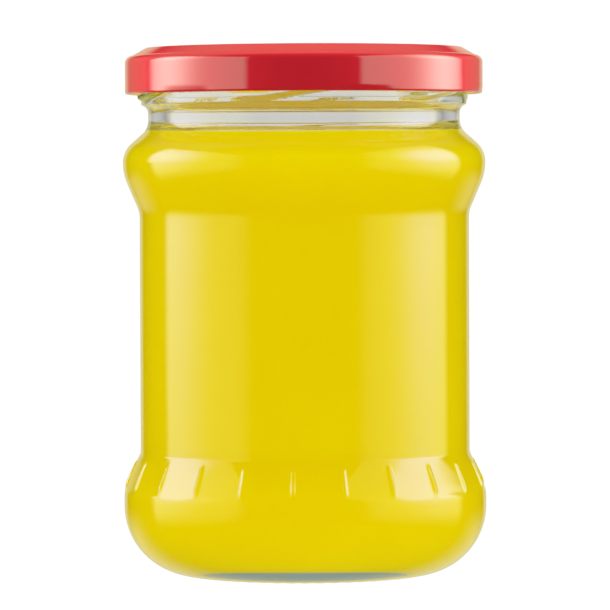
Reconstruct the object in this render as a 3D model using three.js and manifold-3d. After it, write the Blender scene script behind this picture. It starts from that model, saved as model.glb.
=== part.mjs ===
// A filled glass jar with its twist-off lid, standing upright.
// Millimetres, +Z up. The origin is the middle of the ring that the jar stands on.
// Angles go round from the front, which faces -Y, towards +X.

import * as THREE from 'three';
import { mergeVertices } from 'three/addons/utils/BufferGeometryUtils.js';
import Module from 'manifold-3d';

// Whole jar
const BULGE_RADIUS = 43.35;          // widest rings, above and below the label panel
const BODY_RADIUS = 39.4;            // straight label panel
const WALL = 2.5;                    // thickness of the blown wall
const GAP = 0.3;                     // clearance between neighbouring pieces
const ROUND_STEPS = 48;              // facets once round the axis

// Foot
const HEEL_RADIUS = 16.65;           // round from the ring it stands on up to the lower bulge
const RING_INNER_RADIUS = 24.2;      // flat ring that touches the table
const PUSH_UP_RADIUS = 21.5;         // the middle of the base is pushed up inside this
const PUSH_UP_HEIGHT = 1.8;
const FLOOR_HEIGHT = 4.6;            // inner floor, so the base is thicker than the wall
const FLOOR_DOME = 0.8;              // the floor rises this much towards the middle
const FLOOR_ROUND = 11.5;            // the floor turns up into the wall by this radius

// Lower bulge, its cone and its ribs
const LOWER_BULGE_TOP = 18.4;        // top of the upright band of the lower bulge
const LOWER_CONE_ANGLE = 26.0;       // degrees from upright
const LOWER_CONE_ROUND = 11.4;       // radius that blends the bulge into the cone
const BODY_BOTTOM = 29.35;           // sharp corner between cone and label panel
const RIB_COUNT = 22;
const RIB_FIRST_ANGLE = -3.9;        // degrees from the front
const RIB_WIDTH = 1.1;
const RIB_CREST_WIDTH = 0.5;
const RIB_BOTTOM = 20.6;
const RIB_BOTTOM_CREST = 43.25;      // radius of the crest where the rib runs into the bulge
const RIB_TOP = 27.6;
const RIB_TOP_CREST = 40.7;          // radius of the crest where the rib stands out of the cone
const RIB_DEPTH = 1.4;               // from crest to root, inside the wall

// Upper bulge and shoulder
const BODY_TOP = 86.8;               // corner between label panel and upper cone
const UPPER_CONE_ANGLE = 23.7;
const UPPER_CONE_ROUND = 12.5;
const UPPER_BULGE_HEIGHT = 98.6;
const SHOULDER_ANGLE = 48.5;         // steepest slope of the shoulder, from upright
const SHOULDER_ROUND = 6.2;
const NECK_RADIUS = 37.25;
const NECK_ROUND = 4.2;              // hollow between shoulder and neck

// Screw finish of the mouth
const NECK_TOP = 110.4;
const FINISH_RADIUS = 38.9;
const FINISH_ROUND = 1.9;            // hollow under the finish
const FINISH_BOTTOM = 112.7;
const RIM_HEIGHT = 124.7;
const RIM_ROUND = 1.15;
const MOUTH_RADIUS = 36.3;
const BORE_RADIUS = 33.0;            // inside of the neck, where the glass is thickest
const BORE_TOP = 111.3;              // from here up the bore widens to the mouth
const BORE_ROUND = 5.2;              // inner hollow between shoulder and neck
const THREAD_COUNT = 6;
const THREAD_RADIUS = 41.0;
const THREAD_START_ANGLE = -27.0;    // low end of the thread nearest the front
const THREAD_FLAT_SPAN = 13.0;       // degrees that the low end runs level
const THREAD_SPAN = 76.0;            // degrees from end to end
const THREAD_LOW = 112.8;            // underside of the low end, at its root
const THREAD_PITCH_ANGLE = 8.5;
const THREAD_ROOT_DEPTH = 0.6;       // the thread's root lies this deep inside the finish
const THREAD_ROOT_HEIGHT = 2.7;
const THREAD_CREST_HEIGHT = 0.9;
const THREAD_CREST_OFFSET = 1.0;     // crest's underside above the root's underside

// Lid of lacquered tinplate
const LID_RADIUS = 42.75;
const LID_BOTTOM = 114.9;
const LID_TOP = 126.0;
const LID_THICKNESS = 0.45;
const SHOULDER_OF_LID = 122.2;       // top of the upright skirt
const LEDGE_RADIUS = 41.2;           // narrow ledge between skirt and raised ring
const LEDGE_HEIGHT = 124.05;
const RING_FOOT_RADIUS = 40.7;
const RING_OUTER_RADIUS = 37.75;
const RING_INNER_EDGE = 34.4;
const PANEL_RADIUS = 33.4;
const PANEL_HEIGHT = 125.0;
const CURL_INNER_RADIUS = 41.35;
const CURL_HEIGHT = 1.3;
const LUG_COUNT = 6;
const LUG_ANGLE = 21.0;              // middle of the lug nearest the front
const LUG_SPAN = 20.0;               // degrees
const LUG_DEPTH = 0.5;               // how far a lug is pressed in
const LUG_FADE_HEIGHT = 117.5;       // the skirt is round again from here up

// Filling
const FILL_HEIGHT = 104.6;

const radians = THREE.MathUtils.degToRad;

function point(r, z) {
  return new THREE.Vector2(r, z);
}

// Points of a round stretch; 0 degrees points away from the axis and 90 points up.
function arc(centreR, centreZ, radius, from, to, steps) {
  const points = [];
  for (let i = 0; i <= steps; i += 1) {
    const angle = radians(from + (to - from) * i / steps);
    points.push(point(centreR + radius * Math.cos(angle), centreZ + radius * Math.sin(angle)));
  }
  return points;
}

// How far the corner of two straight wall lines moves once both move inwards by inset.
function cornerShift(angle, inset) {
  return inset * Math.tan(radians(angle) / 2);
}

// The wall from the top of the heel to the neck, moved inwards by inset, from the bottom up.
function wallOutline(inset) {
  const bulge = BULGE_RADIUS - inset;
  const body = BODY_RADIUS - inset;
  const lowerRound = LOWER_CONE_ROUND - inset;
  const upperRound = UPPER_CONE_ROUND - inset;
  const shoulderRound = SHOULDER_ROUND - inset;
  return [
    ...arc(bulge - lowerRound, LOWER_BULGE_TOP, lowerRound, 0, LOWER_CONE_ANGLE, 2),
    point(body, BODY_BOTTOM - cornerShift(LOWER_CONE_ANGLE, inset)),
    point(body, BODY_TOP + cornerShift(UPPER_CONE_ANGLE, inset)),
    ...arc(bulge - upperRound, UPPER_BULGE_HEIGHT, upperRound, -UPPER_CONE_ANGLE, 0, 2),
    ...arc(bulge - shoulderRound, UPPER_BULGE_HEIGHT, shoulderRound, 0, SHOULDER_ANGLE, 3).slice(1),
  ];
}

// The hollow where the straight slope of the shoulder turns up into the neck, going up.
function neckHollow(inset, radius, round) {
  const slope = radians(SHOULDER_ANGLE);
  const shoulderRound = SHOULDER_ROUND - inset;
  const slopeTopR = BULGE_RADIUS - SHOULDER_ROUND + shoulderRound * Math.cos(slope);
  const slopeTopZ = UPPER_BULGE_HEIGHT + shoulderRound * Math.sin(slope);
  const hollowR = radius + round * (1 - Math.cos(slope));
  const centreZ = slopeTopZ + (slopeTopR - hollowR) / Math.tan(slope) + round * Math.sin(slope);
  return arc(radius + round, centreZ, round, 180 + SHOULDER_ANGLE, 180, 2);
}

// The cavity that the filling takes up, moved inwards by inset, from the floor's middle up.
function cavityOutline(inset) {
  const centreR = BULGE_RADIUS - WALL - FLOOR_ROUND;
  const centreZ = FLOOR_HEIGHT + FLOOR_ROUND;
  return [
    point(0, FLOOR_HEIGHT + FLOOR_DOME + inset),
    ...arc(centreR, centreZ, FLOOR_ROUND - inset, -90, 0, 4),
    ...wallOutline(WALL + inset),
    ...neckHollow(WALL + inset, BORE_RADIUS - inset, BORE_ROUND + inset),
  ];
}

// A turned solid from a profile that starts and ends on the axis.
function turned(profile) {
  const geometry = new THREE.LatheGeometry(profile, ROUND_STEPS);
  geometry.rotateX(Math.PI / 2);
  return geometry;
}

// The same surface with shared corners and without the flat slivers on the axis.
function welded(geometry) {
  const bare = geometry.clone();
  bare.deleteAttribute('normal');
  bare.deleteAttribute('uv');
  const merged = mergeVertices(bare);
  const kept = [];
  const { array } = merged.index;
  for (let i = 0; i < array.length; i += 3) {
    const [a, b, c] = [array[i], array[i + 1], array[i + 2]];
    if (a !== b && b !== c && c !== a) kept.push(a, b, c);
  }
  merged.setIndex(kept);
  return merged;
}

const wasm = await Module();
wasm.setup();

function toManifold(geometry) {
  const mesh = welded(geometry);
  return new wasm.Manifold(new wasm.Mesh({
    numProp: 3,
    vertProperties: new Float32Array(mesh.attributes.position.array),
    triVerts: new Uint32Array(mesh.index.array),
  }));
}

function fromManifold(solid) {
  const mesh = solid.getMesh();
  const geometry = new THREE.BufferGeometry();
  geometry.setAttribute('position', new THREE.Float32BufferAttribute(mesh.vertProperties, 3));
  geometry.setIndex(new THREE.Uint32BufferAttribute(mesh.triVerts, 1));
  const facets = geometry.toNonIndexed();
  facets.computeVertexNormals();
  return facets;
}

// One rib: a low bar with a narrow crest that stands out of the cone and runs into the bulge.
function ribGeometry(angle) {
  const section = new THREE.Shape([
    point(-RIB_WIDTH, -RIB_DEPTH),
    point(RIB_WIDTH, -RIB_DEPTH),
    point(RIB_CREST_WIDTH / 2, 0),
    point(-RIB_CREST_WIDTH / 2, 0),
  ]);
  const rise = RIB_TOP - RIB_BOTTOM;
  const narrowing = RIB_BOTTOM_CREST - RIB_TOP_CREST;
  const length = Math.hypot(rise, narrowing);
  const geometry = new THREE.ExtrudeGeometry(section, { depth: length, bevelEnabled: false });
  // The section's x runs round the jar, its y points out, and the bar runs up the cone.
  const outward = new THREE.Vector3(Math.sin(angle), -Math.cos(angle), 0);
  const up = new THREE.Vector3(0, 0, 1);
  const along = up.clone().multiplyScalar(rise).addScaledVector(outward, -narrowing).normalize();
  const across = new THREE.Vector3(-Math.cos(angle), -Math.sin(angle), 0);
  const normal = new THREE.Vector3().crossVectors(along, across);
  const frame = new THREE.Matrix4().makeBasis(across, normal, along);
  frame.setPosition(outward.multiplyScalar(RIB_BOTTOM_CREST).addScaledVector(up, RIB_BOTTOM));
  geometry.applyMatrix4(frame);
  return geometry;
}

// Path of a thread's root line: level at its low end, then climbing to the right.
class ThreadLine extends THREE.Curve {
  constructor(start, radius) {
    super();
    this.start = start;
    this.radius = radius;
  }

  getPoint(t, target = new THREE.Vector3()) {
    const along = t * THREAD_SPAN;
    const climbing = Math.max(0, along - THREAD_FLAT_SPAN);
    const angle = this.start + radians(along);
    const rise = radians(climbing) * this.radius * Math.tan(radians(THREAD_PITCH_ANGLE));
    return target.set(this.radius * Math.sin(angle), -this.radius * Math.cos(angle), THREAD_LOW + rise);
  }
}

// A thread: cross-sections set upright along its line, joined into one closed skin.
function threadGeometry(start) {
  const steps = 6;
  const root = FINISH_RADIUS - THREAD_ROOT_DEPTH;
  const section = [
    point(root, 0),
    point(THREAD_RADIUS, THREAD_CREST_OFFSET),
    point(THREAD_RADIUS, THREAD_CREST_OFFSET + THREAD_CREST_HEIGHT),
    point(root, THREAD_ROOT_HEIGHT),
  ];
  const line = new ThreadLine(start, FINISH_RADIUS);
  const spot = new THREE.Vector3();
  const positions = [];
  for (let i = 0; i <= steps; i += 1) {
    const t = i / steps;
    line.getPoint(t, spot);
    const angle = start + radians(t * THREAD_SPAN);
    // Both ends sink into the finish, so that the thread fades in and out.
    const fade = Math.min(1, 4 * t + 0.25, 4 * (1 - t) + 0.25);
    for (const { x, y } of section) {
      const r = x > FINISH_RADIUS ? FINISH_RADIUS + (x - FINISH_RADIUS) * fade : x;
      positions.push(r * Math.sin(angle), -r * Math.cos(angle), spot.z + y);
    }
  }
  const count = section.length;
  const triangles = [];
  for (let i = 0; i < steps; i += 1) {
    for (let j = 0; j < count; j += 1) {
      const a = i * count + j;
      const b = i * count + (j + 1) % count;
      triangles.push(a, a + count, b + count, a, b + count, b);
    }
  }
  const last = steps * count;
  for (let j = 1; j < count - 1; j += 1) {
    triangles.push(0, j, j + 1);
    triangles.push(last, last + j + 1, last + j);
  }
  const geometry = new THREE.BufferGeometry();
  geometry.setAttribute('position', new THREE.Float32BufferAttribute(positions, 3));
  geometry.setIndex(triangles);
  return geometry;
}

// Blown glass jar: foot, bulges, label panel, shoulder, neck and screw finish in one piece.
function glassJar() {
  const centreR = BULGE_RADIUS - HEEL_RADIUS;
  const rimR = FINISH_RADIUS - RIM_ROUND;
  const cavity = cavityOutline(0).reverse();
  const profile = [
    point(0, PUSH_UP_HEIGHT),
    point(PUSH_UP_RADIUS, PUSH_UP_HEIGHT),
    point(RING_INNER_RADIUS, 0),
    ...arc(centreR, HEEL_RADIUS, HEEL_RADIUS, -90, 0, 5),
    ...wallOutline(0),
    ...neckHollow(0, NECK_RADIUS, NECK_ROUND),
    ...arc(NECK_RADIUS + FINISH_ROUND, NECK_TOP, FINISH_ROUND, 180, 115, 2),
    point(FINISH_RADIUS, FINISH_BOTTOM),
    ...arc(rimR, RIM_HEIGHT - RIM_ROUND, RIM_ROUND, 0, 90, 2),
    point(MOUTH_RADIUS + RIM_ROUND / 2, RIM_HEIGHT),
    point(MOUTH_RADIUS, RIM_HEIGHT - RIM_ROUND),
    point(BORE_RADIUS, BORE_TOP),
    ...cavity,
  ];
  let jar = toManifold(turned(profile));
  for (let i = 0; i < RIB_COUNT; i += 1) {
    const angle = radians(RIB_FIRST_ANGLE + 360 * i / RIB_COUNT);
    jar = jar.add(toManifold(ribGeometry(angle)));
  }
  for (let i = 0; i < THREAD_COUNT; i += 1) {
    const start = radians(THREAD_START_ANGLE + 360 * i / THREAD_COUNT);
    jar = jar.add(toManifold(threadGeometry(start)));
  }
  const material = new THREE.MeshStandardMaterial({
    color: 0xdfe8df, roughness: 0.04, metalness: 0.0, transparent: true, opacity: 0.35,
  });
  return named('glass_jar', fromManifold(jar), material);
}

// The part of an outline below a height, ending level at that height.
function cutLevel(outline, height) {
  const above = outline.findIndex((p) => p.y > height);
  const low = outline[above - 1];
  const high = outline[above];
  const share = (height - low.y) / (high.y - low.y);
  return [...outline.slice(0, above), point(low.x + (high.x - low.x) * share, height), point(0, height)];
}

// Smooth filling: it takes up the cavity as far as the fill line and has a level top.
function contents() {
  const profile = cutLevel(cavityOutline(GAP), FILL_HEIGHT);
  const material = new THREE.MeshStandardMaterial({ color: 0xe7cd02, roughness: 0.45, metalness: 0.0 });
  return named('contents', turned(profile), material);
}

// How far the skirt is pressed in at an angle and a height, for the lugs.
function lugPress(angle, z) {
  const pitch = 2 * Math.PI / LUG_COUNT;
  const half = radians(LUG_SPAN) / 2;
  const turns = (angle - radians(LUG_ANGLE)) / pitch;
  const away = Math.abs(turns - Math.round(turns)) * pitch;
  if (away >= half || z >= LUG_FADE_HEIGHT) return 0;
  const side = Math.cos(Math.PI / 2 * away / half) ** 2;
  const height = 1 - THREE.MathUtils.smoothstep(z, LID_BOTTOM + CURL_HEIGHT, LUG_FADE_HEIGHT);
  return LUG_DEPTH * side * height;
}

// Twist-off lid: recessed panel, raised ring, upright skirt, rolled edge and pressed lugs.
function lid() {
  const t = LID_THICKNESS;
  const curlTop = LID_BOTTOM + CURL_HEIGHT;
  const profile = [
    point(0, PANEL_HEIGHT - t),
    point(PANEL_RADIUS + t / 2, PANEL_HEIGHT - t),
    point(RING_INNER_EDGE + t / 2, LID_TOP - t),
    point(RING_OUTER_RADIUS - t / 2, LID_TOP - t),
    point(RING_FOOT_RADIUS - t / 2, LEDGE_HEIGHT + 0.1 - t),
    point(LEDGE_RADIUS - t / 2, LEDGE_HEIGHT - t),
    point(LID_RADIUS - t, SHOULDER_OF_LID - t / 2),
    point(LID_RADIUS - t, curlTop + 0.5),
    point(CURL_INNER_RADIUS, curlTop),
    point(CURL_INNER_RADIUS, LID_BOTTOM + CURL_HEIGHT / 3),
    point(CURL_INNER_RADIUS + CURL_HEIGHT / 3, LID_BOTTOM),
    point(LID_RADIUS - CURL_HEIGHT / 3, LID_BOTTOM),
    point(LID_RADIUS, LID_BOTTOM + CURL_HEIGHT / 3),
    point(LID_RADIUS, curlTop),
    point(LID_RADIUS, LUG_FADE_HEIGHT),
    point(LID_RADIUS, SHOULDER_OF_LID),
    point(LID_RADIUS - 0.3, SHOULDER_OF_LID + 0.9),
    point(LEDGE_RADIUS, LEDGE_HEIGHT),
    point(RING_FOOT_RADIUS, LEDGE_HEIGHT + 0.1),
    point(RING_OUTER_RADIUS, LID_TOP - 0.15),
    point(RING_OUTER_RADIUS - 0.5, LID_TOP),
    point(RING_INNER_EDGE, LID_TOP),
    point(PANEL_RADIUS, PANEL_HEIGHT),
    point(0, PANEL_HEIGHT),
  ];
  const geometry = turned(profile);
  const spots = geometry.attributes.position;
  for (let i = 0; i < spots.count; i += 1) {
    const x = spots.getX(i);
    const y = spots.getY(i);
    const press = lugPress(Math.atan2(x, -y), spots.getZ(i));
    const scale = 1 - press / Math.hypot(x, y, 1e-9);
    spots.setXY(i, x * scale, y * scale);
  }
  const material = new THREE.MeshStandardMaterial({ color: 0xd0202c, roughness: 0.25, metalness: 0.3 });
  return named('lid', geometry, material);
}

function named(name, geometry, material) {
  const mesh = new THREE.Mesh(geometry, material);
  mesh.name = name;
  return mesh;
}

const group = new THREE.Group();
group.add(glassJar(), contents(), lid());

export default group;
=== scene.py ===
# Filled glass jar with a twist-off lid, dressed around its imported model.
# Outlines are in millimetres, as (distance from the axis, height); meshes are made in metres.
# Angles go round from the front, which faces -Y, towards +X.

import math

import bpy
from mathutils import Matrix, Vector


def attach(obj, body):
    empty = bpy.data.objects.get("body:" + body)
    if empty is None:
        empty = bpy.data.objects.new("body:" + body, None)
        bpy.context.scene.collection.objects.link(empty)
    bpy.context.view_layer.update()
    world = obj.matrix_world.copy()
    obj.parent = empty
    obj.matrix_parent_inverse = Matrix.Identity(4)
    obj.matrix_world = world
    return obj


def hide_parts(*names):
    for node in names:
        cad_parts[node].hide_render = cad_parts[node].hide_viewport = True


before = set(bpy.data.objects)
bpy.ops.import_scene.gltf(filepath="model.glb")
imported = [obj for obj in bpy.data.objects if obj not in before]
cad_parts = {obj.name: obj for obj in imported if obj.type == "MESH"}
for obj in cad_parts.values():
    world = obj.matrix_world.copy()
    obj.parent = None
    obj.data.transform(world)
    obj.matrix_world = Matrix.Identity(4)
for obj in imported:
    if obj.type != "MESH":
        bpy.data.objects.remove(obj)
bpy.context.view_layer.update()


# Glass jar. Clear soda-lime glass blown in one piece: a thick foot that stands on a knurled ring,
# two bulges with a straight label panel between them, flat panels parted by 22 ribs on the lower
# cone, and a neck with a fire-polished screw finish of six threads.

ARC_STEP = math.radians(5.0)


def rounded(corners):
    """Outline through corners (radius, height, fillet, spacing): each corner is rounded by its
    fillet, and from there to the next one the points lie no further apart than the spacing."""
    outline = []
    for i, (r, z, fillet, spacing) in enumerate(corners):
        here = Vector((r, z))
        arc = [here]
        if fillet:
            back = (Vector(corners[i - 1][:2]) - here).normalized()
            on = (Vector(corners[i + 1][:2]) - here).normalized()
            half = back.angle(on) / 2
            centre = here + (back + on).normalized() * (fillet / math.sin(half))
            spoke = here + back * (fillet / math.tan(half)) - centre
            turn = math.pi - 2 * half
            steps = max(2, math.ceil(turn / ARC_STEP), math.ceil(turn * fillet / spacing))
            way = math.copysign(turn, on.x * back.y - on.y * back.x)
            arc = []
            for k in range(steps + 1):
                c, s = math.cos(way * k / steps), math.sin(way * k / steps)
                arc.append(centre + Vector((spoke.x * c - spoke.y * s, spoke.x * s + spoke.y * c)))
        if outline:
            start, gap = outline[-1], arc[0] - outline[-1]
            parts = max(1, math.ceil(gap.length / corners[i - 1][3]))
            outline += [start + gap * (k / parts) for k in range(1, parts)]
        outline += arc
    return [(max(p.x, 0.0), p.y) for p in outline]


def turned(name, outline, columns, place):
    """Closed mesh turned from an outline that starts and ends on the axis. place says where the
    point of a ring and a column lies, as (radius, height, angle)."""
    vertices, rings, faces = [], [], []
    for number, (r, z) in enumerate(outline):
        if r < 0.001:
            rings.append([len(vertices)] * columns)
            vertices.append((0.0, 0.0, z / 1000))
            continue
        rings.append(list(range(len(vertices), len(vertices) + columns)))
        for column in range(columns):
            radius, height, angle = place(number, r, z, column)
            x, y = radius * math.sin(angle), -radius * math.cos(angle)
            vertices.append((x / 1000, y / 1000, height / 1000))
    for low, high in zip(rings, rings[1:]):
        for j in range(columns):
            k = (j + 1) % columns
            corners = [low[j], low[k], high[k], high[j]]
            faces.append(tuple(dict.fromkeys(corners)))
    mesh = bpy.data.meshes.new(name)
    mesh.from_pydata(vertices, [], faces)
    mesh.polygons.foreach_set("use_smooth", [True] * len(mesh.polygons))
    mesh.update()
    piece = bpy.data.objects.new(name, mesh)
    bpy.context.scene.collection.objects.link(piece)
    return piece


def smooth(value, start, end):
    """0 before start, 1 after end, and an S-curve between them."""
    t = min(max((value - start) / (end - start), 0.0), 1.0)
    return t * t * (3 - 2 * t)


def between(value, start, end, fade_in, fade_out):
    """1 between start and end, fading to 0 over fade_in before and fade_out after."""
    return smooth(value, start - fade_in, start) * (1 - smooth(value, end, end + fade_out))


BULGE = 43.35                        # radius of both bulges
BODY = 39.4                          # radius of the label panel
NECK = 37.25
FINISH = 38.9                        # radius of the screw finish between its threads
RIM = 37.6                           # radius at the top of the rim
RIM_TOP = 124.7
PUSH_UP = 1.8                        # height of the hollow under the foot
FOOT_RING = 24.2                     # inner radius of the ring that it stands on
HEEL_ROUND = 16.65
LOWER_BULGE_TOP = 21.0
CONE_TOP, BODY_TOP = 29.35, 86.8
UPPER_BULGE_LOW, UPPER_BULGE_TOP = 95.98, 101.39
SHOULDER_TOP, SHOULDER_ROUND = 106.79, 4.2
glass_outside = rounded([
    (0.0, PUSH_UP, 0, 8), (FOOT_RING - 2.7, PUSH_UP, 1.5, 2), (FOOT_RING, 0.0, 0.9, 0.7),
    (BULGE, 0.0, HEEL_ROUND, 1.4), (BULGE, LOWER_BULGE_TOP, 11.4, 0.5), (BODY, CONE_TOP, 1.8, 5),
    (BODY, BODY_TOP, 6.5, 2), (BULGE, UPPER_BULGE_LOW, 12.5, 2), (BULGE, UPPER_BULGE_TOP, 6.2, 2),
    (NECK, SHOULDER_TOP, SHOULDER_ROUND, 1.5), (NECK, 111.6, 1.9, 0.5),
    (FINISH, 112.4, 0.5, 0.33), (FINISH, RIM_TOP, 1.15, 1), (RIM, RIM_TOP, 0, 1),
])
WALL = 2.5
BORE = 33.0                          # inner radius of the neck
MOUTH = 36.3
FLOOR_ROUND = 11.5
FLOOR_EDGE, FLOOR_MIDDLE = 4.6, 5.4
INNER_LOWER_BULGE, INNER_LOWER_ROUND = 20.46, 8.9
INNER_CONE_TOP, INNER_CONE_ROUND = 28.77, 7.0
INNER_BODY_TOP, INNER_BODY_ROUND = 87.32, 9.0
INNER_UPPER_BULGE, INNER_UPPER_ROUND = 96.5, 10.0
glass_inside = rounded([
    (RIM, RIM_TOP, 0, 1), (MOUTH, RIM_TOP, 0.9, 4), (BORE, 114.0, 4.0, 1),
    (BORE, SHOULDER_TOP, SHOULDER_ROUND, 2), (BULGE - WALL, 99.84, 2.7, 2),
    (BULGE - WALL, INNER_UPPER_BULGE, INNER_UPPER_ROUND, 2),
    (BODY - WALL, INNER_BODY_TOP, INNER_BODY_ROUND, 30),
    (BODY - WALL, INNER_CONE_TOP, INNER_CONE_ROUND, 2),
    (BULGE - WALL, INNER_LOWER_BULGE, INNER_LOWER_ROUND, 2),
    (BULGE - WALL, FLOOR_EDGE, FLOOR_ROUND, 3), (0.0, FLOOR_MIDDLE, 0, 8),
])[1:]

RIB_COUNT = 22
RIB_FIRST = math.radians(-3.9)
RIB_PITCH = 2 * math.pi / RIB_COUNT
RIB_HEIGHT = 0.37
RIB_HALF = 0.8                       # half its width at the foot
RIB_LOW, RIB_HIGH = 23.0, 27.1       # at full height between these
RIB_FADE_LOW, RIB_FADE_HIGH = 2.8, 0.8
PANEL_LOW, PANEL_HIGH = 20.5, 28.6   # flattened panels between the ribs
PANEL_LOW_RADIUS, PANEL_HIGH_RADIUS = 42.86, 39.71
PANEL_FLAT_FROM = 20.9
PANEL_FADE_LOW, PANEL_FADE_HIGH = 0.9, 0.7
FLATNESS = 0.75                      # 1 would be a plane from rib to rib
CONE_ZONE = (19, 30)                 # heights that ribs and panels reach
# Columns of the mesh crowd round each rib: distances from its middle along the 42 mm radius
RIB_COLUMNS = [0.25, 0.5, 0.75, 1.1, 2.0, 3.8]
RIB_RADIUS = 42
CROWDED_LOW, CROWDED_HIGH = 17, 31
CROWDED_FADE_LOW, CROWDED_FADE_HIGH = 8, 29
KNURL_COUNT = 52
KNURL_DEPTH = 0.09
KNURL_IN, KNURL_OUT = 24.6, 28.0
KNURL_FADE_IN, KNURL_FADE_OUT = 1.2, 3.5
KNURL_TOP = 1.2                      # nothing higher than this is knurled
THREAD_COUNT = 6
THREAD_HEIGHT = 1.9
THREAD_FIRST = math.radians(-27.0)
THREAD_LEVEL = math.radians(13.0)    # the low end runs level this far
THREAD_SPAN = math.radians(76.0)
THREAD_TAPER = math.radians(13.0)    # both ends run out over this
THREAD_CLIMB = FINISH * math.tan(math.radians(8.5))
THREAD_LOW = 112.8
THREAD_UNDER, THREAD_CREST, THREAD_OVER = 1.0, 0.9, 0.8    # heights of its three faces
THREAD_ZONE = (112.6, 123)

spread = [x / RIB_RADIUS for x in RIB_COLUMNS]
spread = [-x for x in reversed(spread)] + [0.0] + spread + [RIB_PITCH / 2]
GLASS_COLUMNS = RIB_COUNT * len(spread)


def glass_angle(column, z):
    """Columns are crowded round the ribs on the lower cone and even elsewhere."""
    rib, place_in = divmod(column, len(spread))
    crowded = RIB_FIRST + RIB_PITCH * rib + spread[place_in]
    even = RIB_FIRST + RIB_PITCH * (rib + (place_in - len(RIB_COLUMNS)) / len(spread))
    share = between(z, CROWDED_LOW, CROWDED_HIGH, CROWDED_FADE_LOW, CROWDED_FADE_HIGH)
    return even + (crowded - even) * share


def rib_and_panel(r, z, angle):
    """Radius of the lower cone with its flattened panels and the ribs where they meet."""
    turns = (angle - RIB_FIRST) / RIB_PITCH
    away = abs(turns - round(turns)) * RIB_PITCH
    level = (z - PANEL_LOW) / (PANEL_HIGH - PANEL_LOW)
    flat = PANEL_LOW_RADIUS + (PANEL_HIGH_RADIUS - PANEL_LOW_RADIUS) * level
    flat /= math.cos(RIB_PITCH / 2 - away)
    flatness = FLATNESS * between(z, PANEL_FLAT_FROM, PANEL_HIGH, PANEL_FADE_LOW, PANEL_FADE_HIGH)
    dip = flatness * max(r - flat, 0.0)
    crest = math.sin(math.pi / 2 * max(0.0, 1 - away * r / RIB_HALF)) ** 2
    rise = RIB_HEIGHT * crest * between(z, RIB_LOW, RIB_HIGH, RIB_FADE_LOW, RIB_FADE_HIGH)
    return min(r - dip * (1 - crest) + rise, BULGE)


def thread_rise(z, angle):
    """How far the threads stand out of the finish."""
    rise = 0.0
    for i in range(THREAD_COUNT):
        along = (angle - THREAD_FIRST - 2 * math.pi * i / THREAD_COUNT) % (2 * math.pi)
        if along > THREAD_SPAN:
            continue
        ends = between(along, THREAD_TAPER, THREAD_SPAN - THREAD_TAPER, THREAD_TAPER, THREAD_TAPER)
        low = THREAD_LOW + THREAD_CLIMB * max(0.0, along - THREAD_LEVEL) + THREAD_UNDER
        profile = between(z, low, low + THREAD_CREST, THREAD_UNDER, THREAD_OVER)
        rise = max(rise, THREAD_HEIGHT * ends * profile)
    return rise


def glass_place(number, r, z, column):
    angle = glass_angle(column, z)
    if number >= len(glass_outside):
        return r, z, angle
    if z < KNURL_TOP and r > KNURL_IN - KNURL_FADE_IN:
        knurl = 0.5 - 0.5 * math.cos(KNURL_COUNT * angle)
        z += KNURL_DEPTH * knurl * between(r, KNURL_IN, KNURL_OUT, KNURL_FADE_IN, KNURL_FADE_OUT)
    elif CONE_ZONE[0] < z < CONE_ZONE[1]:
        r = rib_and_panel(r, z, angle)
    elif THREAD_ZONE[0] < z < THREAD_ZONE[1]:
        r += thread_rise(z, angle)
    return r, z, angle


def linear(hex_colour):
    """sRGB hex to linear RGBA."""
    parts = [int(hex_colour[i:i + 2], 16) / 255 for i in (1, 3, 5)]
    return [c / 12.92 if c <= 0.04045 else ((c + 0.055) / 1.055) ** 2.4 for c in parts] + [1.0]


def add(tree, kind, links=None, **settings):
    """Adds a node. Names that match a property set it, others set the input of that name, and
    links joins inputs to the outputs they take their values from."""
    node = tree.nodes.new("ShaderNode" + kind)
    for name, value in settings.items():
        if hasattr(node, name):
            setattr(node, name, value)
        else:
            node.inputs[name.replace("_", " ")].default_value = value
    for name, output in (links or {}).items():
        tree.links.new(output, node.inputs[name])
    return node


def new_material(name):
    material = bpy.data.materials.new(name)
    material.use_nodes = True
    material.node_tree.nodes.clear()
    return material, material.node_tree


def blown_flint_glass():
    """Blown soda-lime flint glass, fire-polished. Clear and mirror smooth, and grey-green where the
    eye looks along the wall or through the foot. Lamp light and scattered light pass straight
    through, so the filling is lit evenly."""
    material, tree = new_material("blown_flint_glass")
    glass = add(
        tree, "BsdfPrincipled",
        Base_Color=linear("#FFFFFF"), Roughness=0.0, IOR=1.52, Transmission_Weight=1.0,
    )
    clear = add(tree, "BsdfTransparent", Color=linear("#F7F8F7"))
    path = add(tree, "LightPath").outputs
    lit = add(
        tree, "MixShader",
        {0: path["Is Diffuse Ray"], 1: glass.outputs[0], 2: clear.outputs[0]},
    )
    lit = add(
        tree, "MixShader",
        {0: path["Is Shadow Ray"], 1: lit.outputs[0], 2: clear.outputs[0]},
    )
    # Per metre: what little the iron in the sand takes out
    depth = add(tree, "VolumeAbsorption", Color=linear("#CBD7C8"), Density=26.0)
    add(tree, "OutputMaterial", {"Surface": lit.outputs[0], "Volume": depth.outputs[0]})
    return material


glass = turned("glass", glass_outside + glass_inside, GLASS_COLUMNS, glass_place)
glass.data.materials.append(blown_flint_glass())
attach(glass, "root")
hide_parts("glass_jar")


# Filling. Smooth yellow puree, poured in hot so that it wets the glass everywhere and creeps up it
# a little at the fill line. It reaches just into the wall, so that no air shows between the two.

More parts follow.
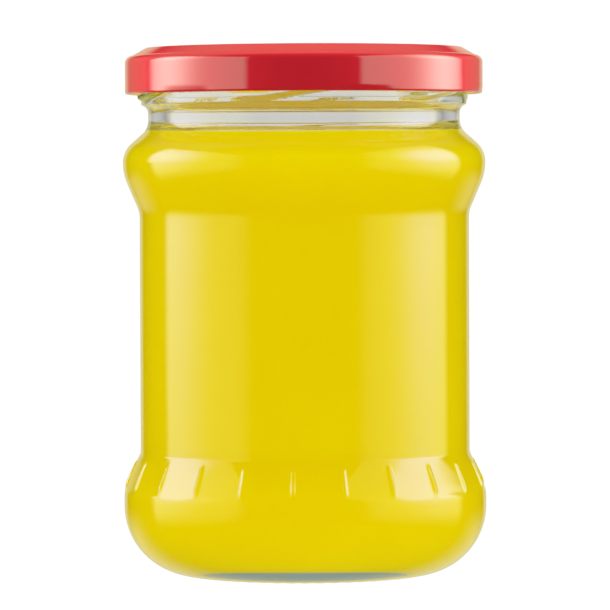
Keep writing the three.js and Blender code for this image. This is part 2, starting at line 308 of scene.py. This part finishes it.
INTO_WALL = 0.15
FILL_HEIGHT = 104.6
CREEP = 0.25                         # how far it climbs the wall
filled_bulge = BULGE - WALL + INTO_WALL
filled_body = BODY - WALL + INTO_WALL
puree_outline = rounded([
    (0.0, FLOOR_MIDDLE - INTO_WALL, 0, 8), (filled_bulge, FLOOR_EDGE - INTO_WALL, FLOOR_ROUND, 3),
    (filled_bulge, INNER_LOWER_BULGE, INNER_LOWER_ROUND, 2),
    (filled_body, INNER_CONE_TOP, INNER_CONE_ROUND, 30),
    (filled_body, INNER_BODY_TOP, INNER_BODY_ROUND, 2),
    (filled_bulge, INNER_UPPER_BULGE, INNER_UPPER_ROUND, 2), (filled_bulge, 99.98, 2.7, 2),
    (35.4, FILL_HEIGHT + CREEP, 0, 0.4), (34.2, FILL_HEIGHT, 0.9, 1.5), (0.0, FILL_HEIGHT, 0, 8),
])
PUREE_COLUMNS = 192
CLOUD = 22.2                         # clouds of the puree
PULP_GRAIN = 0.625                   # larger than the real one, which is too fine to show
FOOT_FULL, FOOT_TOP = 0.009, 0.012   # in metres: the foot ends between these heights


def puree_place(number, r, z, column):
    return r, z, 2 * math.pi * column / PUREE_COLUMNS


def puree_colour(tree):
    """Barely lighter and darker clouds from stirring, and a pulp grain that is just seen."""
    spot = add(tree, "TexCoord").outputs["Object"]
    clouds = add(tree, "TexNoise", {"Vector": spot}, Scale=1000 / CLOUD, Detail=3.0, Roughness=0.5)
    pulp = add(
        tree, "TexNoise", {"Vector": spot}, Scale=1000 / PULP_GRAIN, Detail=2.0, Roughness=0.6,
    )
    tone = add(tree, "Mix", {"A": clouds.outputs["Fac"], "B": pulp.outputs["Fac"]}, Factor=0.25)
    ramp = add(tree, "ValToRGB", {"Fac": tone.outputs[0]})
    ramp.color_ramp.elements[0].position = 0.3
    ramp.color_ramp.elements[0].color = linear("#ECCB00")
    ramp.color_ramp.elements[1].position = 0.7
    ramp.color_ramp.elements[1].color = linear("#F1D000")
    return ramp.outputs["Color"]


def puree_against_glass():
    """Sieved, cooked puree behind glass. Opaque and even, with light scattering under its surface.
    Views that graze it through the thick foot see no yellow. A flat grey-green is painted there
    instead: a painted reflection of the shaded table, in place of the total reflection that would
    mirror it through the greenish glass."""
    material, tree = new_material("puree_against_glass")
    body = add(
        tree, "BsdfPrincipled", {"Base Color": puree_colour(tree)},
        Roughness=0.5, IOR=1.36, Specular_IOR_Level=0.0,
        Subsurface_Weight=1.0, Subsurface_Radius=(1.0, 0.8, 0.05), Subsurface_Scale=0.012,
    )
    # Index over that of glass; below 1, so that it cuts off views closer than 31 degrees to it,
    # in the foot only, where the painted reflection of the shaded table takes over
    step = add(tree, "Fresnel", IOR=0.855)
    height = add(tree, "SeparateXYZ", {0: add(tree, "TexCoord").outputs["Object"]}).outputs["Z"]
    low = add(tree, "MapRange", {"Value": height}, From_Min=FOOT_TOP, From_Max=FOOT_FULL)
    painted_reflection_share = add(tree, "Math", {0: step.outputs[0], 1: low.outputs[0]}, operation="MULTIPLY")
    # Painted reflection: a flat grey-green that stands in for the shaded table as the total
    # reflection in the foot would show it
    painted_table_reflection = add(tree, "BsdfDiffuse", Color=linear("#8F9D90"))
    wet = add(tree, "MixShader", {0: painted_reflection_share.outputs[0], 1: body.outputs[0], 2: painted_table_reflection.outputs[0]})
    add(tree, "OutputMaterial", {"Surface": wet.outputs[0]})
    return material


def open_puree():
    """The top of the puree, which settled level and keeps a wet gloss in the closed jar."""
    material, tree = new_material("open_puree")
    body = add(
        tree, "BsdfPrincipled", {"Base Color": puree_colour(tree)},
        Roughness=0.02, IOR=1.42, Subsurface_Weight=1.0,
        Subsurface_Radius=(1.0, 0.8, 0.05), Subsurface_Scale=0.012,
    )
    add(tree, "OutputMaterial", {"Surface": body.outputs[0]})
    return material


puree = turned("puree", puree_outline, PUREE_COLUMNS, puree_place)
puree.data.materials.append(puree_against_glass())
puree.data.materials.append(open_puree())
for face in puree.data.polygons:
    level_face = face.normal.z > 0.7
    if level_face and face.center.z * 1000 > FILL_HEIGHT - 0.05:
        face.material_index = 1
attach(puree, "root")
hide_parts("contents")


# Lid. Tinplate of 0.25 mm, lacquered red and pressed in one piece: a recessed panel inside a raised
# ring, an upright skirt, a rolled edge, and six lugs pressed into the edge that grip the threads.

LID = 42.75                          # radius of its skirt
LID_TOP = 126.0
LID_PANEL = 125.0                    # top of the recessed panel
LID_BOTTOM = 114.9
SHEET = 0.25
ROLL = 41.45                         # inner radius of the rolled edge
ROLL_TOP = 116.5
LUG_COUNT = 6
LUG_FIRST = math.radians(20.0)
LUG_HALF = math.radians(12.0)
LUG_DEPTH = 0.3
LUG_FOOT, LUG_FADE = 115.0, 116.7
lid_inside = rounded([
    (0.0, LID_PANEL - SHEET, 0, 8), (33.5, LID_PANEL - SHEET, 0.5, 1),
    (34.5, LID_TOP - SHEET, 0.6, 3), (37.5, LID_TOP - SHEET, 0.9, 2), (40.7, 124.0, 0.6, 1),
    (41.2, 123.75, 0, 1), (LID - SHEET, 123.4, 1.3, 1), (LID - SHEET, ROLL_TOP, 0, 0.5),
])
lid_edge_and_outside = rounded([
    (LID - SHEET, ROLL_TOP, 0, 0.5), (ROLL, ROLL_TOP - 0.4, 0.5, 0.4), (ROLL, LID_BOTTOM, 0.6, 0.4),
    (LID, LID_BOTTOM, 0.6, 0.35), (LID, 124.1, 1.75, 0.5), (41.1, 124.12, 0.4, 0.5),
    (37.75, LID_TOP, 0.9, 1), (34.5, LID_TOP, 0.7, 1), (33.4, LID_PANEL, 0.6, 1),
    (0.0, LID_PANEL, 0, 6),
])
LID_COLUMNS = 288
PEEL = 1.54                          # orange peel of the lacquer
TONE_PATCH = 8.33                    # patches of barely lighter and darker lacquer
MIST = 1.11                          # droplets of the sprayed coat


def lid_place(number, r, z, column):
    angle = 2 * math.pi * column / LID_COLUMNS
    turns = (angle - LUG_FIRST) * LUG_COUNT / (2 * math.pi)
    away = abs(turns - round(turns)) * 2 * math.pi / LUG_COUNT
    if r > ROLL - 0.15:
        side = 1 - smooth(away, 0.5 * LUG_HALF, LUG_HALF)
        r -= LUG_DEPTH * side * (1 - smooth(z, LUG_FOOT, LUG_FADE))
    return r, z, angle


def lacquered_tinplate():
    """Red stoving lacquer on tinplate. A hard clear gloss over a deep red that the bright metal
    under it lights up, with the faint orange peel of a rolled-on coat."""
    material, tree = new_material("lacquered_tinplate")
    spot = add(tree, "TexCoord").outputs["Object"]
    peel = add(tree, "TexNoise", {"Vector": spot}, Scale=1000 / PEEL, Detail=1.0)
    bump = add(tree, "Bump", {"Height": peel.outputs["Fac"]}, Strength=0.05, Distance=0.0001)
    depth = add(tree, "TexNoise", {"Vector": spot}, Scale=1000 / TONE_PATCH, Detail=2.0)
    ramp = add(tree, "ValToRGB", {"Fac": depth.outputs["Fac"]})
    ramp.color_ramp.elements[0].color = linear("#CD1D29")
    ramp.color_ramp.elements[1].color = linear("#D2212D")
    lacquer = add(
        tree, "BsdfPrincipled",
        {"Base Color": ramp.outputs["Color"], "Coat Normal": bump.outputs["Normal"]},
        Metallic=0.5, Roughness=0.5, Specular_IOR_Level=0.0,
        Coat_Weight=1.0, Coat_IOR=1.9, Coat_Roughness=0.03,
    )
    add(tree, "OutputMaterial", {"Surface": lacquer.outputs[0]})
    return material


def gold_lacquered_inside():
    """Gold food-safe lacquer sprayed inside the lid: even, with a soft sheen."""
    material, tree = new_material("gold_lacquered_inside")
    spot = add(tree, "TexCoord").outputs["Object"]
    mist = add(tree, "TexNoise", {"Vector": spot}, Scale=1000 / MIST, Detail=2.0)
    ramp = add(tree, "ValToRGB", {"Fac": mist.outputs["Fac"]})
    ramp.color_ramp.elements[0].color = linear("#B99A22")
    ramp.color_ramp.elements[1].color = linear("#C2A42C")
    lacquer = add(tree, "BsdfPrincipled", {"Base Color": ramp.outputs["Color"]}, Roughness=0.35)
    add(tree, "OutputMaterial", {"Surface": lacquer.outputs[0]})
    return material


lid = turned("lid_tinplate", lid_inside + lid_edge_and_outside[1:], LID_COLUMNS, lid_place)
lid.data.materials.append(lacquered_tinplate())
lid.data.materials.append(gold_lacquered_inside())
for number, face in enumerate(lid.data.polygons):
    # The inner side of the rolled edge shows the inside's lacquer too
    rolled = face.center.z * 1000 < ROLL_TOP and face.center.xy.length * 1000 < ROLL + 0.55
    if rolled or number < (len(lid_inside) - 1) * LID_COLUMNS:
        face.material_index = 1
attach(lid, "root")
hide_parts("lid")
# Light that scatters in the puree in the real jar reaches it past the lid here
lid.visible_diffuse = False
lid.visible_shadow = False


# Studio. The jar stands on a pale light table in a white cove, between two tall softboxes whose
# light is strongest round the flash behind the cloth. None of this is part of the jar. Light is
# counted so that 1 is what a fair grey-white card sends out; the picture's white lies above it.

scene = bpy.context.scene
PURE_WHITE = 1.8

table = bpy.data.meshes.new("light_table")
TABLE_HALF = 6.0
corners = [(x * TABLE_HALF, y * TABLE_HALF, 0) for x, y in ((-1, -1), (1, -1), (1, 1), (-1, 1))]
table.from_pydata(corners, [], [(0, 1, 2, 3)])
floor = bpy.data.objects.new("light_table", table)
floor.location.z = -0.00003             # clear of the foot, so that both surfaces show
scene.collection.objects.link(floor)
pale, tree = new_material("pale_acrylic")
sheet = add(
    tree, "BsdfPrincipled", Base_Color=linear("#F4F4F4"), Roughness=0.9, Specular_IOR_Level=0.0,
    Emission_Color=(1, 1, 1, 1), Emission_Strength=0.3,
)
path = add(tree, "LightPath").outputs
from_below = add(tree, "Emission", Strength=1.5)
sheet = add(
    tree, "MixShader",
    {0: path["Is Diffuse Ray"], 1: sheet.outputs[0], 2: from_below.outputs[0]},
)
through_foot = add(tree, "Emission", Strength=1.0)
sheet = add(
    tree, "MixShader",
    {0: path["Is Transmission Ray"], 1: sheet.outputs[0], 2: through_foot.outputs[0]},
)
pure = add(tree, "Emission", Strength=PURE_WHITE)
sheet = add(
    tree, "MixShader", {0: path["Is Camera Ray"], 1: sheet.outputs[0], 2: pure.outputs[0]},
)
add(tree, "OutputMaterial", {"Surface": sheet.outputs[0]})
table.materials.append(pale)
floor.visible_glossy = False

# What each lamp lights: the lid's gloss is white all over, the glass warms what it mirrors weakly
lid_only = bpy.data.collections.new("lid_only")
lid_only.objects.link(lid)
jar_only = bpy.data.collections.new("jar_only")
jar_only.objects.link(glass)
jar_only.objects.link(puree)

BOX_AWAY = 0.68
BOX_NEAR = -1.02
BOX_LOW = -0.25
FLASH_Z, FLASH_REACH_Z = 0.32, 0.28
LOW_FADE, TOP_FADE = 0.26, 0.08
LEAN_LOW, LEAN_HIGH = 0.075, 0.12    # between these heights the far edge moves back
# For the pieces it lights, a softbox has colours of its cloth and of the flash behind it, a glow of
# the cloth, a reach of the flash along it, and fades at its near and far edges
LID_GLOSS = dict(
    lit=lid_only, cloth=(0.92, 1.06, 0.88, 1.0), flash=(0.92, 1.06, 0.88, 1.0), cloth_glow=1.42,
    flash_reach=0.21, near_fade=0.18, far_fade=0.15,
)
JAR_GLOSS = dict(
    lit=jar_only, cloth=(1.3, 1.25, 0.28, 1.0), flash=(1.0, 1.0, 1.1, 1.0), cloth_glow=1.7,
    flash_reach=0.32, near_fade=0.5, far_fade=0.12,
)
LEFT, RIGHT = -1, 1
SOFTBOXES = {
    "softbox_left_lid": dict(
        side=LEFT, top=0.66, far=0.30, lean=0.06, flash_y=0.04, flash_glow=6.1, **LID_GLOSS),
    "softbox_right_lid": dict(
        side=RIGHT, top=0.86, far=0.355, lean=0.09, flash_y=0.09, flash_glow=6.2, **LID_GLOSS),
    "softbox_left_jar": dict(
        side=LEFT, top=0.66, far=0.30, lean=0.06, flash_y=0.08, flash_glow=5.6, **JAR_GLOSS),
    "softbox_right_jar": dict(
        side=RIGHT, top=0.86, far=0.355, lean=-0.015, flash_y=0.0, flash_glow=6.6, **JAR_GLOSS),
}

for name, box in SOFTBOXES.items():
    lamp = bpy.data.lights.new(name, "AREA")
    lamp.shape = "RECTANGLE"
    lamp.size = box["top"] - BOX_LOW
    lamp.size_y = box["far"] + box["lean"] - BOX_NEAR
    lamp.energy = math.pi * lamp.size * lamp.size_y
    lamp.use_nodes = True
    tree = lamp.node_tree
    tree.nodes.clear()
    place = add(tree, "NewGeometry").outputs["Position"]
    offset = add(tree, "VectorMath", {0: place}, operation="SUBTRACT")
    offset.inputs[1].default_value = (box["side"] * BOX_AWAY, box["flash_y"], FLASH_Z)
    scaled = add(tree, "VectorMath", {0: offset.outputs[0]}, operation="MULTIPLY")
    scaled.inputs[1].default_value = (0.0, 1 / box["flash_reach"], 1 / FLASH_REACH_Z)
    squared = add(
        tree, "VectorMath", {0: scaled.outputs[0], 1: scaled.outputs[0]},
        operation="DOT_PRODUCT",
    )
    flash = add(tree, "Math", {1: squared.outputs["Value"]}, operation="POWER")
    flash.inputs[0].default_value = math.exp(-1)
    glow = add(tree, "Math", {0: flash.outputs[0]}, operation="MULTIPLY_ADD")
    glow.inputs[1].default_value = box["flash_glow"]
    glow.inputs[2].default_value = box["cloth_glow"]
    spot = add(tree, "SeparateXYZ", {0: place}).outputs
    moved = add(
        tree, "MapRange", {"Value": spot["Z"]}, interpolation_type="SMOOTHSTEP",
        From_Min=LEAN_LOW, From_Max=LEAN_HIGH, To_Min=0.0, To_Max=box["lean"],
    )
    upright = add(tree, "Math", {0: spot["Y"], 1: moved.outputs[0]}, operation="SUBTRACT")
    edges = (
        (spot["Y"], BOX_NEAR, box["near_fade"]), (upright.outputs[0], box["far"], -box["far_fade"]),
        (spot["Z"], BOX_LOW, LOW_FADE), (spot["Z"], box["top"], -TOP_FADE),
    )
    for along, edge, fade in edges:
        fading = add(
            tree, "MapRange", {"Value": along}, interpolation_type="SMOOTHSTEP",
            From_Min=edge, From_Max=edge + fade,
        )
        glow = add(tree, "Math", {0: glow.outputs[0], 1: fading.outputs[0]}, operation="MULTIPLY")
    whiter = add(tree, "MapRange", {"Value": flash.outputs[0]}, From_Min=0.05, From_Max=0.65)
    tint = add(
        tree, "MixRGB", {"Fac": whiter.outputs[0]}, Color1=box["cloth"], Color2=box["flash"],
    )
    shine = add(tree, "Emission", {"Color": tint.outputs[0], "Strength": glow.outputs[0]})
    add(tree, "OutputLight", {"Surface": shine.outputs[0]})
    softbox = bpy.data.objects.new(name, lamp)
    softbox.location = (
        box["side"] * BOX_AWAY, (BOX_NEAR + box["far"] + box["lean"]) / 2,
        (BOX_LOW + box["top"]) / 2,
    )
    softbox.rotation_euler = (0, box["side"] * math.pi / 2, 0)
    softbox.visible_camera = False
    softbox.visible_diffuse = False
    softbox.visible_transmission = False
    softbox.light_linking.receiver_collection = box["lit"]
    scene.collection.objects.link(softbox)

# Light for the lid alone: warm cards beyond the softboxes that its flanks mirror, and lamps at
# both sides and above that light its lacquer. Name, place, turn, height, length, glow and colour
WHITE, WARM = (1.0, 1.0, 1.0), (1.0, 1.0, 0.6)
LID_LIGHTS = (
    ("card_left", (-BOX_AWAY, 0.9, 0.2), LEFT, 0.8, 1.1, 0.3, WARM),
    ("card_right", (BOX_AWAY, 0.93, 0.2), RIGHT, 0.8, 1.1, 0.3, WARM),
    ("lamp_left", (-0.5, 0.25, 0.12), LEFT, 0.4, 0.4, 18.0, WHITE),
    ("lamp_right", (0.5, 0.25, 0.12), RIGHT, 0.4, 0.4, 18.0, WHITE),
    ("lamp_above", (0, 0, 0.75), 0, 0.4, 0.4, 19.0, WHITE),
)
for name, place, quarter_turn, height, length, glow, colour in LID_LIGHTS:
    lamp = bpy.data.lights.new(name, "AREA")
    lamp.shape = "RECTANGLE"
    lamp.size = height
    lamp.size_y = length
    lamp.energy = math.pi * height * length * glow
    lamp.color = colour
    card = bpy.data.objects.new(name, lamp)
    card.location = place
    card.rotation_euler = (0, quarter_turn * math.pi / 2, 0)
    card.visible_camera = False
    card.visible_transmission = False
    card.visible_glossy = name.startswith("card")
    card.light_linking.receiver_collection = lid_only
    scene.collection.objects.link(card)

world = bpy.data.worlds.new("white_cove")
scene.world = world
world.use_nodes = True
tree = world.node_tree
tree.nodes.clear()
way = add(tree, "SeparateXYZ", {0: add(tree, "TexCoord").outputs["Generated"]}).outputs
depth_way = add(tree, "Math", {0: way["Y"]}, operation="ABSOLUTE").outputs[0]
height_way = add(tree, "Math", {0: way["Z"]}, operation="ABSOLUTE").outputs[0]
# Each part of the cove brightens or darkens between two directions: from, to, light before, after
PARTS = {
    # Mirrored by gloss: dark room, backdrop behind, ceiling card above it, table behind the jar
    "backdrop": (way["Y"], 0.885, 0.95, 0.015, 0.9),
    "ceiling": (way["Z"], 0.35, 0.75, 0.0, 0.44),
    "not in front": (way["Y"], -0.35, 0.0, 0.0, 1.0),
    "table": (way["Z"], -0.3, -0.05, 1.0, 0.0),
    "table behind": (way["Y"], 0.5, 0.95, 0.0, 1.1),
    # Seen through glass: the backdrop, darker to the sides, the shaded table and the dark room
    "through": (depth_way, 0.6, 0.95, 0.35, 1.0),
    "shaded": (way["Z"], -0.3, -0.1, 0.5, 1.0),
    "dark room": (way["Y"], -0.7, -0.3, 0.05, 1.0),
    # Lighting the filling: strongest from the level of the softboxes
    "scattered": (height_way, 0.2, 0.45, 2.6, 1.34),
}
light = {}
for name, (value, before, after, low, high) in PARTS.items():
    part = add(
        tree, "MapRange", {"Value": value}, interpolation_type="SMOOTHSTEP",
        From_Min=before, From_Max=after, To_Min=low, To_Max=high,
    )
    light[name] = part.outputs[0]
JOINED = (
    ("ceiling", "MULTIPLY", "not in front"), ("backdrop", "MAXIMUM", "ceiling"),
    ("table", "MULTIPLY", "table behind"), ("backdrop", "MAXIMUM", "table"),
    ("through", "MULTIPLY", "shaded"), ("through", "MULTIPLY", "dark room"),
)
for name, way_joined, other in JOINED:
    joined = add(tree, "Math", {0: light[name], 1: light[other]}, operation=way_joined)
    light[name] = joined.outputs[0]
path = add(tree, "LightPath").outputs
seen = add(
    tree, "Mix", {"Factor": path["Is Glossy Ray"], "A": light["scattered"], "B": light["backdrop"]},
)
seen = add(
    tree, "Mix",
    {"Factor": path["Is Transmission Ray"], "A": seen.outputs[0], "B": light["through"]},
)
seen = add(tree, "Mix", {"Factor": path["Is Camera Ray"], "A": seen.outputs[0]}, B=PURE_WHITE)
warm = add(
    tree, "MixRGB", {"Fac": path["Is Glossy Ray"]},
    Color1=(1, 1, 1, 1), Color2=(1.0, 0.96, 0.6, 1.0),
)
warm = add(
    tree, "MixRGB", {"Fac": path["Is Transmission Ray"], "Color1": warm.outputs[0]},
    Color2=(1.0, 0.98, 0.93, 1.0),
)
sky = add(tree, "Background", {"Color": warm.outputs[0], "Strength": seen.outputs[0]})
add(tree, "OutputWorld", {"Surface": sky.outputs[0]})

camera = bpy.data.objects.new("camera", bpy.data.cameras.new("camera"))
camera.location = (0.0002, -1.1, 0.0944)
camera.rotation_euler = (math.radians(90 - 1.56), math.radians(0.23), 0)
camera.data.lens = 271.2
camera.data.sensor_width = 36
camera.data.clip_start = 0.05
camera.data.clip_end = 40
scene.collection.objects.link(camera)
scene.camera = camera

# The camera's response bends strong light over softly: light / (1 + SHOULDER * light)
SHOULDER = 0.42
FULL_LIGHT = 1 / (1 - SHOULDER)
scene.view_settings.view_transform = "Standard"
scene.view_settings.look = "None"
scene.view_settings.use_curve_mapping = True
response = scene.view_settings.curve_mapping
response.white_level = (FULL_LIGHT, FULL_LIGHT, FULL_LIGHT)
for share in (0.1, 0.25, 0.5, 0.75):
    strength = share * FULL_LIGHT
    response.curves[3].points.new(share, strength / (1 + SHOULDER * strength))
response.update()

scene.cycles.max_bounces = 24
scene.cycles.transmission_bounces = 20
scene.cycles.glossy_bounces = 12
scene.cycles.diffuse_bounces = 3
scene.cycles.transparent_max_bounces = 16
